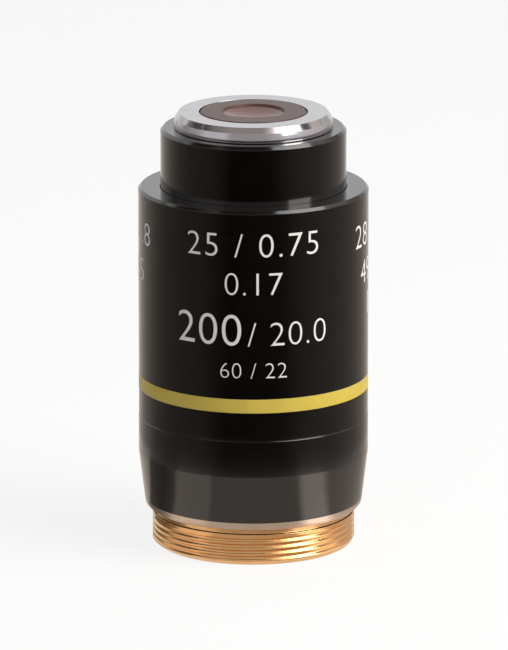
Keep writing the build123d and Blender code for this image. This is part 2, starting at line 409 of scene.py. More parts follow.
@dataclass(frozen=True)
class CoatedGlass(Finish):
    """Polished optical glass under a quarter-wave film of magnesium fluoride.

    The film leaves a weak rose reflection. A rough rose layer, uneven in patches, is mixed over the glass
    as a painted reflection of that rose colour.
    """

    tint: str
    ior: float
    film_nm: float
    film_ior: float = 1.38
    roughness: float = 0.02
    rose_reflection_colour: str = "#B98E88"
    rose_reflection_roughness: float = 0.6
    rose_reflection_patch_mm: float = 0.4
    least_rose_reflection: float = 0.24
    most_rose_reflection: float = 0.3

    def surface(self, tree: bpy.types.NodeTree, place: bpy.types.NodeSocket) -> bpy.types.Node:
        """Adds the glass's shader; see Finish.surface."""
        glass = add_node(
            tree,
            "ShaderNodeBsdfPrincipled",
            inputs={
                "Base Color": linear(self.tint),
                "Roughness": self.roughness,
                "IOR": self.ior,
                "Transmission Weight": 1.0,
                "Thin Film Thickness": self.film_nm,
                "Thin Film IOR": self.film_ior,
            },
        )
        # Painted reflection: a rough rose layer over about a quarter of the glass, uneven in patches
        painted_rose_reflection = add_node(
            tree,
            "ShaderNodeBsdfPrincipled",
            inputs={"Base Color": linear(self.rose_reflection_colour), "Roughness": self.rose_reflection_roughness},
        )
        rose_patches = mottling(tree, place, size_mm=self.rose_reflection_patch_mm, detail=5.0)
        rose_share = spread(tree, rose_patches, self.least_rose_reflection, self.most_rose_reflection)
        return add_node(
            tree, "ShaderNodeMixShader", inputs={0: rose_share, 1: glass.outputs[0], 2: painted_rose_reflection.outputs[0]}
        )


# Aluminium, fine turned and dyed black in the anodising bath. The oxide that holds the dye is
# hard and dense, with an index near 1.7, so the black is deep in front and pale at its edges
BLACK_ANODISED = DarkCoat(
    name="dyed_black_anodising",
    colour="#070504",
    worn_colour="#0B0807",
    roughness=0.14,
    ior=1.68,
    ring_depth_mm=0.0003,
)
# Brass, fine turned and black nickel plated: a little smoother and deeper than the anodising
BLACK_PLATED = DarkCoat(
    name="black_plated_brass",
    colour="#060403",
    worn_colour="#090706",
    roughness=0.13,
    ior=1.68,
    ring_depth_mm=0.0002,
)
# Black optical paint on the bezel: duller than the plating beside it, and a little brown
BEZEL_PAINT = DarkCoat(
    name="dull_black_bezel_paint",
    colour="#46302C",
    worn_colour="#4E3732",
    roughness=0.42,
    ior=1.4,
    ring_depth_mm=0.001,
)
# Black oxide on the inner cells and spacers: dull, so that no stray light gets past the lenses
BLACK_OXIDE = DarkCoat(
    name="matt_black_oxide",
    colour="#0A0908",
    worn_colour="#12100E",
    roughness=0.55,
    ior=1.4,
    ring_depth_mm=0.002,
)
# Free-cutting brass, turned and threaded, lacquered: warm gold with a soft grain round the axis
BRASS = TurnedMetal(
    name="turned_brass",
    colour="#E4B480",
    stained_colour="#DCAA72",
    roughness=0.17,
    anisotropy=0.2,
    ring_depth_mm=0.00015,
    ring_spacing_mm=0.12,
)
# The same aluminium cut bright after anodising, so the metal is bare; its warm tint is a painted
# reflection of the brass below it
BRIGHT_CUT = TurnedMetal(
    name="bright_cut_aluminium",
    colour="#CDBDAE",
    stained_colour="#C5B2A1",
    roughness=0.28,
    anisotropy=0.4,
    ring_depth_mm=0.001,
    ring_spacing_mm=0.1,
)
# Chromium plate over finely turned brass: cool grey, nearly a mirror, with rings on its flat
CHROME = TurnedMetal(
    name="satin_chrome",
    colour="#B4B3B8",
    stained_colour="#AEADB3",
    roughness=0.12,
    anisotropy=0.3,
    ring_depth_mm=0.0003,
    ring_spacing_mm=0.09,
)
# Yellow stoving enamel, filled into its groove and turned flush
YELLOW_ENAMEL = Enamel(
    name="yellow_stoving_enamel", colour="#C3AE47", thin_colour="#BBA540", roughness=0.34
)
# White pad-printing ink, a hundredth of a millimetre thick
WHITE_INK = Enamel(
    name="white_printing_ink",
    colour="#D6D6D4",
    thin_colour="#CFCFCE",
    roughness=0.5,
    peel_depth_mm=0.001,
)
# Front lens of dense lanthanum glass, and the crown and flint behind it
FRONT_GLASS = CoatedGlass(name="coated_front_glass", tint="#E7C9C4", ior=1.69, film_nm=128.0)
INNER_GLASS = CoatedGlass(name="coated_inner_glass", tint="#E9DAD6", ior=1.7, film_nm=112.0)


# A radius below this, in millimetres, lies on the axis
ON_AXIS = 1e-6
# How far an edge is rounded, in millimetres, from a ground edge to a soft one
GROUND_EDGE = 0.01
CRISP_EDGE = 0.02
BROKEN_EDGE = 0.03
DEBURRED_EDGE = 0.04
EASED_EDGE = 0.05
POLISHED_EDGE = 0.06
SOFT_EDGE = 0.08


@dataclass(frozen=True)
class Corner:
    """One corner of a half-section, in millimetres, and the wall that runs from it to the next."""

    radius: float
    height: float
    rounding: float = BROKEN_EDGE
    wall_finish: int = 0


@dataclass(frozen=True)
class SectionPoint:
    """One point of a finished half-section, in millimetres, with the outward direction there."""

    radius: float
    height: float
    outward: Vector
    wall_finish: int


@dataclass(frozen=True)
class HalfSection:
    """Closed outline that is turned about the axis, with each corner rounded.

    The corners run anticlockwise with the radius to the right and the height up.
    """

    corners: tuple[Corner, ...]
    arc_steps: int = 5

    def points(self) -> list[SectionPoint]:
        """Returns the outline's points, with an arc in place of each corner."""
        made: list[SectionPoint] = []
        count = len(self.corners)
        for index, corner in enumerate(self.corners):
            before = self.corners[index - 1]
            after = self.corners[(index + 1) % count]
            made.extend(self._arc(before, corner, after))
        return made

    def _arc(self, before: Corner, corner: Corner, after: Corner) -> list[SectionPoint]:
        """Rounds one corner.

        Args:
            before: Corner that the outline comes from.
            corner: Corner to round.
            after: Corner that the outline goes to.

        Returns:
            Points of the arc, from the wall before to the wall after.
        """
        here = Vector((corner.radius, corner.height))
        arriving = (here - Vector((before.radius, before.height))).normalized()
        leaving = (Vector((after.radius, after.height)) - here).normalized()
        turn = math.atan2(
            arriving.x * leaving.y - arriving.y * leaving.x, arriving.dot(leaving)
        )
        side = math.copysign(1.0, turn)
        start = here - arriving * corner.rounding * math.tan(abs(turn) / 2)
        inward = Vector((-arriving.y, arriving.x)) * side
        centre = start + inward * corner.rounding
        made = []
        for step in range(self.arc_steps + 1):
            swing = Matrix.Rotation(turn * step / self.arc_steps, 2)
            place = centre - (swing @ inward) * corner.rounding
            outward = swing @ Vector((arriving.y, -arriving.x))
            finish = corner.wall_finish if step == self.arc_steps else before.wall_finish
            made.append(SectionPoint(place.x, place.y, outward, finish))
        return made


class TurnedPiece:
    """Mesh turned about the Z axis from section points, with the section's own shading normals."""

    def __init__(self, name: str, sides: int = 256) -> None:
        """Names the piece and sets how many sides its rings have."""
        self.name = name
        self.sides = sides
        self._vertices: list[Vector] = []
        self._normals: list[Vector] = []
        self._faces: list[tuple[int, ...]] = []
        self._finishes: list[int] = []

    def _ring(self, point: SectionPoint) -> list[int]:
        """Adds one ring of vertices, or a single vertex on the axis, and returns their numbers."""
        first = len(self._vertices)
        if point.radius < ON_AXIS:
            self._vertices.append(Vector((0.0, 0.0, point.height * MM)))
            self._normals.append(Vector((0.0, 0.0, math.copysign(1.0, point.outward.y))))
            return [first] * self.sides
        for side in range(self.sides):
            angle = 2 * math.pi * side / self.sides
            across = Vector((math.cos(angle), math.sin(angle), 0.0))
            self._vertices.append(across * point.radius * MM + Vector((0.0, 0.0, point.height * MM)))
            self._normals.append(across * point.outward.x + Vector((0.0, 0.0, point.outward.y)))
        return list(range(first, first + self.sides))

    def add_section(self, points: Sequence[SectionPoint], closed: bool = True) -> "TurnedPiece":
        """Adds the surface of one section.

        Args:
            points: The section's points in order, with the piece on their left.
            closed: Whether the last point joins the first.

        Returns:
            The piece itself.
        """
        rings = [self._ring(point) for point in points]
        joints = len(points) if closed else len(points) - 1
        for index in range(joints):
            low = rings[index]
            high = rings[(index + 1) % len(points)]
            for side in range(self.sides):
                ahead = (side + 1) % self.sides
                corners = (low[side], low[ahead], high[ahead], high[side])
                self._faces.append(tuple(dict.fromkeys(corners)))
                self._finishes.append(points[index].wall_finish)
        return self

    def build(self, finishes: Sequence[Finish], exact_normals: bool = True) -> bpy.types.Object:
        """Makes the object.

        Args:
            finishes: Finishes by their number on the corners.
            exact_normals: Whether the section's own normals shade the piece.

        Returns:
            The new object, linked to the scene.
        """
        mesh = bpy.data.meshes.new(self.name)
        mesh.from_pydata(self._vertices, [], self._faces)
        for finish in finishes:
            mesh.materials.append(finish.material())
        mesh.polygons.foreach_set("material_index", self._finishes)
        mesh.shade_smooth()
        if exact_normals:
            mesh.normals_split_custom_set_from_vertices(self._normals)
        mesh.validate()
        piece = bpy.data.objects.new(self.name, mesh)
        bpy.context.scene.collection.objects.link(piece)
        return piece


def turn_piece(
    name: str, corners: Sequence[Corner], finishes: Sequence[Finish], sides: int = 256
) -> bpy.types.Object:
    """Turns one closed half-section into a piece.

    Args:
        name: Name of the piece.
        corners: Corners of its half-section.
        finishes: Finishes by their number on the corners.
        sides: Sides of each ring.

    Returns:
        The new object.
    """
    section = HalfSection(tuple(corners))
    return TurnedPiece(name, sides).add_section(section.points()).build(finishes)


def set_in_place(piece: bpy.types.Object, slot: str, *nodes: str) -> bpy.types.Object:
    """Lets a piece stand for its nodes and ride with the objective.

    Args:
        piece: Finished piece.
        slot: Material slot of the record that its finish comes from; not used.
        nodes: Nodes that it stands for.

    Returns:
        The piece.
    """
    if nodes:
        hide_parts(*nodes)
    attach(piece, BODY)
    log.info("%s: %d faces", piece.name, len(piece.data.polygons))
    return piece


def run_geometry_nodes(
    piece: bpy.types.Object, group: bpy.types.NodeTree, values: dict[str, object]
) -> None:
    """Shapes a piece with a tree of Geometry Nodes and leaves it a plain mesh.

    Args:
        piece: Piece that the tree works on.
        group: The tree.
        values: Value of each named input.
    """
    modifier = piece.modifiers.new(group.name, "NODES")
    modifier.node_group = group
    sockets = {
        item.name: item.identifier
        for item in group.interface.items_tree
        if item.item_type == "SOCKET" and item.in_out == "INPUT"
    }
    for name, value in values.items():
        modifier[sockets[name]] = value
    bpy.context.view_layer.update()
    shaped = piece.evaluated_get(bpy.context.evaluated_depsgraph_get())
    mesh = bpy.data.meshes.new_from_object(shaped)
    piece.modifiers.remove(modifier)
    piece.data = mesh


class GeometryTree:
    """A tree of Geometry Nodes with one geometry in, one out, and named inputs."""

    def __init__(self, name: str, inputs: dict[str, str]) -> None:
        """Makes the tree.

        Args:
            name: Name of the tree.
            inputs: Socket type of each named input.
        """
        self.tree = bpy.data.node_groups.new(name, "GeometryNodeTree")
        face = self.tree.interface
        face.new_socket("Geometry", in_out="INPUT", socket_type="NodeSocketGeometry")
        for label, kind in inputs.items():
            face.new_socket(label, in_out="INPUT", socket_type=kind)
        face.new_socket("Geometry", in_out="OUTPUT", socket_type="NodeSocketGeometry")
        self.inputs = self.add("NodeGroupInput").outputs

    def add(self, kind: str, settings: dict | None = None, inputs: dict | None = None) -> bpy.types.Node:
        """Adds a node to the tree; see add_node."""
        return add_node(self.tree, kind, settings, inputs)

    def maths(self, operation: str, *values: object) -> bpy.types.NodeSocket:
        """Adds one sum.

        Args:
            operation: Blender's name of the operation.
            values: Its inputs in order, as numbers or sockets.

        Returns:
            Socket with the result.
        """
        node = self.add("ShaderNodeMath", {"operation": operation}, dict(enumerate(values)))
        return node.outputs[0]

    def close(self, geometry: bpy.types.NodeSocket, material: bpy.types.NodeSocket) -> bpy.types.NodeTree:
        """Ends the tree with real geometry in one material.

        Args:
            geometry: What the tree has made.
            material: The material's socket.

        Returns:
            The finished tree.
        """
        real = self.add("GeometryNodeRealizeInstances", inputs={0: geometry})
        dressed = self.add(
            "GeometryNodeSetMaterial", inputs={"Geometry": real.outputs[0], "Material": material}
        )
        self.add("NodeGroupOutput", inputs={0: dressed.outputs[0]})
        return self.tree


class SubAssembly(ABC):
    """A group of pieces that belong together."""

    @abstractmethod
    def build(self) -> None:
        """Builds the pieces, dresses them and sets them in place."""


@dataclass
class ThreadedMount(SubAssembly):
    """Brass fitting with its true helical thread, which the solids hold as a plain cylinder."""

    pitch: float = 0.75
    thread_depth: float = 0.2
    crest_share: float = 0.1
    root_share: float = 0.1
    # Share of a turn by which the crest is turned on from the X axis
    thread_start: float = 0.5
    thread_top: float = 3.5
    run_out: float = 0.3
    land_top: float = 3.9
    neck_radius: float = 12.2
    rear_bore: float = 9.8
    spigot_bore: float = 11.0
    step_height: float = 8.0
    end_chamfer: float = 0.4
    bore_edge: float = 0.1
    neck_fillet: float = 0.12
    rows_per_pitch: int = 16
    sides: int = 384

    def _section(self, whole: Extent) -> list[SectionPoint]:
        """Returns the half-section, with close rows where the thread is cut."""
        chamfer_foot = whole.radius - self.end_chamfer
        corners = (
            Corner(self.rear_bore, whole.bottom, self.bore_edge),
            Corner(chamfer_foot, whole.bottom, EASED_EDGE),
            Corner(whole.radius, self.end_chamfer, CRISP_EDGE),
            Corner(whole.radius, self.land_top, POLISHED_EDGE),
            Corner(self.neck_radius, self.land_top, self.neck_fillet),
            Corner(self.neck_radius, whole.top, EASED_EDGE),
            Corner(self.spigot_bore, whole.top, EASED_EDGE),
            Corner(self.spigot_bore, self.step_height, EASED_EDGE),
            Corner(self.rear_bore, self.step_height, EASED_EDGE),
        )
        points = HalfSection(corners).points()
        spacing = self.pitch / self.rows_per_pitch
        filled: list[SectionPoint] = []
        for index, point in enumerate(points):
            filled.append(point)
            after = points[(index + 1) % len(points)]
            start = Vector((point.radius, point.height))
            reach = Vector((after.radius, after.height)) - start
            outside = min(point.radius, after.radius) > self.neck_radius - self.thread_depth
            threaded = outside and max(point.height, after.height) < self.land_top + spacing
            rows = math.ceil(reach.length / spacing) if threaded else 1
            for row in range(1, rows):
                place = start + reach * row / rows
                filled.append(SectionPoint(place.x, place.y, point.outward, point.wall_finish))
        return filled

    def _thread_tree(self) -> bpy.types.NodeTree:
        """Returns the tree that cuts the thread into a plain cylinder.

        A point goes inward by the depth that its place in the pitch gives, and that place is its
        height less the share of the pitch that the helix has climbed at its angle.
        """
        number = "NodeSocketFloat"
        tree = GeometryTree(
            "cut_helical_thread",
            {
                "Pitch": number,
                "Depth": number,
                "Crest Share": number,
                "Root Share": number,
                "Start": number,
                "Top": number,
                "Run Out": number,
                "Major Radius": number,
                "Material": "NodeSocketMaterial",
            },
        )
        given = tree.inputs
        place = tree.add("GeometryNodeInputPosition").outputs[0]
        split = tree.add("ShaderNodeSeparateXYZ", inputs={0: place}).outputs
        angle = tree.maths("ARCTAN2", split["Y"], split["X"])
        climbed = tree.maths("ADD", tree.maths("DIVIDE", angle, 2 * math.pi), given["Start"])
        pitches = tree.maths("DIVIDE", split["Z"], given["Pitch"])
        phase = tree.maths("FRACT", tree.maths("SUBTRACT", pitches, climbed))
        half_pitch = 0.5
        off_crest = tree.maths("ABSOLUTE", tree.maths("SUBTRACT", phase, half_pitch))
        from_crest = tree.maths("DIVIDE", off_crest, half_pitch)
        groove = tree.add(
            "ShaderNodeMapRange",
            {"interpolation_type": "SMOOTHSTEP"},
            {
                "Value": from_crest,
                "From Min": given["Crest Share"],
                "From Max": tree.maths("SUBTRACT", 1.0, given["Root Share"]),
                "To Min": 0.0,
                "To Max": 1.0,
            },
        ).outputs[0]
        fade = tree.add(
            "ShaderNodeMapRange",
            {"interpolation_type": "SMOOTHSTEP"},
            {
                "Value": split["Z"],
                "From Min": tree.maths("SUBTRACT", given["Top"], given["Run Out"]),
                "From Max": given["Top"],
                "To Min": 1.0,
                "To Max": 0.0,
            },
        ).outputs[0]
        flat = tree.add("ShaderNodeCombineXYZ", inputs={0: split["X"], 1: split["Y"]}).outputs[0]
        radius = tree.add("ShaderNodeVectorMath", {"operation": "LENGTH"}, {0: flat}).outputs["Value"]
        bottom_of_groove = tree.maths(
            "SUBTRACT",
            given["Major Radius"],
            tree.maths("MULTIPLY", tree.maths("MULTIPLY", groove, fade), given["Depth"]),
        )
        new_radius = tree.maths("MINIMUM", radius, bottom_of_groove)
        scale = tree.maths("DIVIDE", new_radius, radius)
        moved = tree.add(
            "ShaderNodeVectorMath", {"operation": "SCALE"}, {0: flat, "Scale": scale}
        ).outputs[0]
        lifted = tree.add("ShaderNodeCombineXYZ", inputs={2: split["Z"]}).outputs[0]
        target = tree.add("ShaderNodeVectorMath", {"operation": "ADD"}, {0: moved, 1: lifted}).outputs[0]
        below = tree.maths("LESS_THAN", split["Z"], given["Top"])
        cut = tree.add(
            "GeometryNodeSetPosition",
            inputs={"Geometry": given["Geometry"], "Selection": below, "Position": target},
        )
        return tree.close(cut.outputs[0], given["Material"])

    def build(self) -> None:
        """Builds the fitting and cuts its thread."""
        whole = Extent.of("threaded_mount")
        piece = TurnedPiece("brass_fitting", self.sides).add_section(self._section(whole))
        fitting = piece.build([BRASS], exact_normals=False)
        run_geometry_nodes(
            fitting,
            self._thread_tree(),
            {
                "Pitch": self.pitch * MM,
                "Depth": self.thread_depth * MM,
                "Crest Share": self.crest_share,
                "Root Share": self.root_share,
                "Start": self.thread_start,
                "Top": self.thread_top * MM,
                "Run Out": self.run_out * MM,
                "Major Radius": whole.radius * MM,
                "Material": BRASS.material(),
            },
        )
        set_in_place(fitting, "mount_brass", "threaded_mount")


@dataclass
class BaseCollar(SubAssembly):
    """Tapered black collar with a chamfered foot that is cut bright."""

    bore: float = 12.22
    recess_radius: float = 12.55
    recess_depth: float = 0.25
    foot_radius: float = 12.95
    foot_chamfer_width: float = 0.4
    foot_chamfer_height: float = 0.45
    bright_cut_width: float = 0.11
    bright_cut_height: float = 0.57
    band_height: float = 4.6
    taper_bend: float = 0.25
    seam_chamfer: float = 0.1

    def build(self) -> None:
        """Builds the collar, whose chamfer and bright cut are its second finish."""
        whole = Extent.of("base_collar")
        foot = whole.bottom
        cut_radius = self.foot_radius + self.foot_chamfer_width
        cut_foot = foot + self.foot_chamfer_height
        corners = (
            Corner(self.bore, foot + self.recess_depth),
            Corner(self.recess_radius, foot + self.recess_depth),
            Corner(self.recess_radius, foot),
            Corner(self.foot_radius, foot, DEBURRED_EDGE, wall_finish=1),
            Corner(cut_radius, cut_foot, SOFT_EDGE, wall_finish=1),
            Corner(
                cut_radius + self.bright_cut_width, cut_foot + self.bright_cut_height, CRISP_EDGE
            ),
            Corner(whole.radius, whole.top - self.band_height, self.taper_bend),
            Corner(whole.radius, whole.top - self.seam_chamfer),
            Corner(whole.radius - self.seam_chamfer, whole.top, CRISP_EDGE),
            Corner(self.bore, whole.top),
        )
        collar = turn_piece("tapered_collar", corners, [BLACK_ANODISED, BRIGHT_CUT])
        set_in_place(collar, "black_anodised_aluminium", "base_collar")


@dataclass(frozen=True)
class Inscription:
    """One row of plain numerals printed on the sleeve."""

    text: str
    capital_height: float
    middle_height: float
    azimuth_deg: float = 0.0
    bolder_by: float = 0.06
    spacing: float = 1.05


@dataclass
class OuterSleeve(SubAssembly):
    """Black sleeve with its yellow ring and its printed numerals."""

    bore: float = 12.7
    lip_thickness: float = 1.5
    lip_bore: float = 11.48
    seam_chamfer: float = 0.1
    top_chamfer: float = 0.35
    groove_depth: float = 0.2
    groove_edge: float = 0.015
    ring_fit: float = 0.02
    ink_thickness: float = 0.012
    ink_room: float = 0.016
    # The default font's capitals are 0.7 of its nominal size
    capital_share: float = 0.7

    # Plain sizes of the objective in millimetres: its thread, cover glass, tube lens and focal
    # length, parfocal length and field, and at the sides its depth of field and its outer sizes
    inscriptions: tuple[Inscription, ...] = (
        Inscription("25 / 0.75", 3.0, 40.6, spacing=1.12),
        Inscription("0.17", 2.9, 35.8, bolder_by=0.08),
        Inscription("200", 4.0, 29.95, azimuth_deg=-23.0),
        Inscription("/ 20.0", 3.05, 29.5, azimuth_deg=18.0, bolder_by=0.08),
        Inscription("60 / 22", 2.0, 25.0),
        Inscription("1.1 / 8.8", 2.95, 39.95, azimuth_deg=-92.0),
        Inscription("55", 2.95, 35.15, azimuth_deg=-79.0),
        Inscription("28 / 54", 3.0, 39.7, azimuth_deg=87.0),
        Inscription("49.75", 3.0, 34.95, azimuth_deg=88.0),
        Inscription("10.2", 3.0, 30.65, azimuth_deg=92.0),
    )

    def _shell(self, whole: Extent, ring: Extent) -> bpy.types.Object:
        """Builds the sleeve itself, just under its printed surface."""
        outer = whole.radius - self.ink_room
        corners = (
            Corner(self.bore, whole.bottom),
            Corner(outer - self.seam_chamfer, whole.bottom, CRISP_EDGE),
            Corner(outer, whole.bottom + self.seam_chamfer),
            Corner(outer, ring.bottom, self.groove_edge),
            Corner(outer - self.groove_depth, ring.bottom, CRISP_EDGE),
            Corner(outer - self.groove_depth, ring.top, CRISP_EDGE),
            Corner(outer, ring.top, self.groove_edge),
            Corner(outer, whole.top - self.top_chamfer, POLISHED_EDGE),
            Corner(outer - self.top_chamfer, whole.top, POLISHED_EDGE),
            Corner(self.lip_bore, whole.top, EASED_EDGE),
            Corner(self.lip_bore, whole.top - self.lip_thickness),
            Corner(self.bore, whole.top - self.lip_thickness),
        )
        return turn_piece("outer_sleeve_shell", corners, [BLACK_ANODISED])

    def _enamel_ring(self, whole: Extent, ring: Extent) -> bpy.types.Object:
        """Builds the yellow ring, flush with the sleeve."""
        outer = whole.radius - self.ink_room
        inner = outer - self.groove_depth + self.ring_fit
        corners = (
            Corner(inner, ring.bottom, GROUND_EDGE),
            Corner(outer, ring.bottom, GROUND_EDGE),
            Corner(outer, ring.top, GROUND_EDGE),
            Corner(inner, ring.top, GROUND_EDGE),
        )
        return turn_piece("yellow_enamel_ring", corners, [YELLOW_ENAMEL])

    def _print_tree(self) -> bpy.types.NodeTree:
        """Returns the tree that sets a row of type and rolls it onto the sleeve."""
        number = "NodeSocketFloat"
        tree = GeometryTree(
            "print_on_cylinder",
            {
                "Text": "NodeSocketString",
                "Type Size": number,
                "Character Spacing": number,
                "Bolder By": number,
                "Middle Height": number,
                "Azimuth": number,
                "Radius": number,
                "Thickness": number,
                "Material": "NodeSocketMaterial",
            },
        )
        given = tree.inputs
        type_set = tree.add(
            "GeometryNodeStringToCurves",
            {"align_x": "CENTER", "align_y": "MIDDLE"},
            {
                "String": given["Text"],
                "Size": given["Type Size"],
                "Character Spacing": given["Character Spacing"],
            },
        )
        real = tree.add("GeometryNodeRealizeInstances", inputs={0: type_set.outputs[0]})
        outline = tree.add("GeometryNodeResampleCurve", {"mode": "EVALUATED"}, {"Curve": real.outputs[0]})
        # Each point of the outline moves out across its line, which makes the strokes heavier
        across = tree.add(
            "ShaderNodeVectorMath",
            {"operation": "CROSS_PRODUCT"},
            {0: (0.0, 0.0, 1.0), 1: tree.add("GeometryNodeInputTangent").outputs[0]},
        )
        outward = tree.add(
            "ShaderNodeVectorMath",
            {"operation": "SCALE"},
            {0: across.outputs[0], "Scale": given["Bolder By"]},
        )
        heavier = tree.add(
            "GeometryNodeSetPosition",
            inputs={"Geometry": outline.outputs[0], "Offset": outward.outputs[0]},
        )
        filled = tree.add("GeometryNodeFillCurve", {"mode": "TRIANGLES"}, {"Curve": heavier.outputs[0]})
        fine = tree.add("GeometryNodeSubdivideMesh", inputs={"Mesh": filled.outputs[0], "Level": 2})
        thick = tree.add(
            "GeometryNodeExtrudeMesh",
            inputs={
                "Mesh": fine.outputs[0],
                "Offset": (0.0, 0.0, 1.0),
                "Offset Scale": given["Thickness"],
                "Individual": False,
            },
        )
        split = tree.add(
            "ShaderNodeSeparateXYZ", inputs={0: tree.add("GeometryNodeInputPosition").outputs[0]}
        ).outputs
        # The front of the sleeve faces the camera, along -Y, and text runs to the right from there
        angle = tree.maths("ADD", tree.maths("DIVIDE", split["X"], given["Radius"]), given["Azimuth"])
        radius = tree.maths("ADD", given["Radius"], split["Z"])
        away = tree.maths("MULTIPLY", radius, tree.maths("COSINE", angle))
        rolled = tree.add(
            "ShaderNodeCombineXYZ",
            inputs={
                "X": tree.maths("MULTIPLY", radius, tree.maths("SINE", angle)),
                "Y": tree.maths("MULTIPLY", away, -1.0),
                "Z": tree.maths("ADD", split["Y"], given["Middle Height"]),
            },
        )
        placed = tree.add(
            "GeometryNodeSetPosition",
            inputs={"Geometry": thick.outputs[0], "Position": rolled.outputs[0]},
        )
        return tree.close(placed.outputs[0], given["Material"])

    def _print(self, whole: Extent) -> bpy.types.Object:
        """Prints every row of numerals and joins them to one piece."""
        tree = self._print_tree()
        surface = whole.radius - self.ink_room
        rows = []
        for row in self.inscriptions:
            mesh = bpy.data.meshes.new("row_of_type")
            piece = bpy.data.objects.new("row_of_type", mesh)
            bpy.context.scene.collection.objects.link(piece)
            run_geometry_nodes(
                piece,
                tree,
                {
                    "Text": row.text,
                    "Type Size": row.capital_height / self.capital_share * MM,
                    "Character Spacing": row.spacing,
                    "Bolder By": row.bolder_by * MM,
                    "Middle Height": row.middle_height * MM,
                    "Azimuth": math.radians(row.azimuth_deg),
                    "Radius": surface * MM,
                    "Thickness": self.ink_thickness * MM,
                    "Material": WHITE_INK.material(),
                },
            )
            rows.append(piece)
        with bpy.context.temp_override(active_object=rows[0], selected_editable_objects=rows):
            bpy.ops.object.join()
        rows[0].name = "printed_numerals"
        return rows[0]

    def build(self) -> None:
        """Builds the sleeve, the ring and the print."""
        whole = Extent.of("outer_sleeve")
        ring = Extent.of("colour_ring")
        set_in_place(self._shell(whole, ring), "black_anodised_aluminium", "outer_sleeve")
        set_in_place(self._enamel_ring(whole, ring), "yellow_enamel", "colour_ring")
        set_in_place(self._print(whole), "black_anodised_aluminium")


@dataclass
class Nose(SubAssembly):
    """Inner barrel, whose nose stands out of the sleeve."""

    bore: float = 8.62
    tail_radius: float = 10.95
    nose_radius: float = 11.42
    flange_height: float = 2.4
    chamfer: float = 0.4
    ring_bore: float = 8.0
    ring_seat: float = 2.0
    lip_thickness: float = 1.4
    lip_bore: float = 6.68

    def build(self) -> None:
        """Builds the barrel with its seat for the front ring."""
        whole = Extent.of("barrel")
        seam = Extent.of("outer_sleeve").bottom
        seat = whole.top - self.ring_seat
        corners = (
            Corner(self.bore, whole.bottom, EASED_EDGE),
            Corner(self.tail_radius, whole.bottom, EASED_EDGE),
            Corner(self.tail_radius, seam, EASED_EDGE),
            Corner(whole.radius, seam, EASED_EDGE),
            Corner(whole.radius, seam + self.flange_height, EASED_EDGE),
            Corner(self.nose_radius, seam + self.flange_height, EASED_EDGE),
            Corner(self.nose_radius, whole.top - self.chamfer, SOFT_EDGE),
            Corner(self.nose_radius - self.chamfer, whole.top, SOFT_EDGE),
            Corner(self.ring_bore, whole.top, DEBURRED_EDGE),
            Corner(self.ring_bore, seat, DEBURRED_EDGE),
            Corner(self.lip_bore, seat, DEBURRED_EDGE),
            Corner(self.lip_bore, seat - self.lip_thickness, DEBURRED_EDGE),
            Corner(self.bore, seat - self.lip_thickness, DEBURRED_EDGE),
        )
        nose = turn_piece("black_nose_barrel", corners, [BLACK_PLATED])
        set_in_place(nose, "blackened_brass", "barrel")


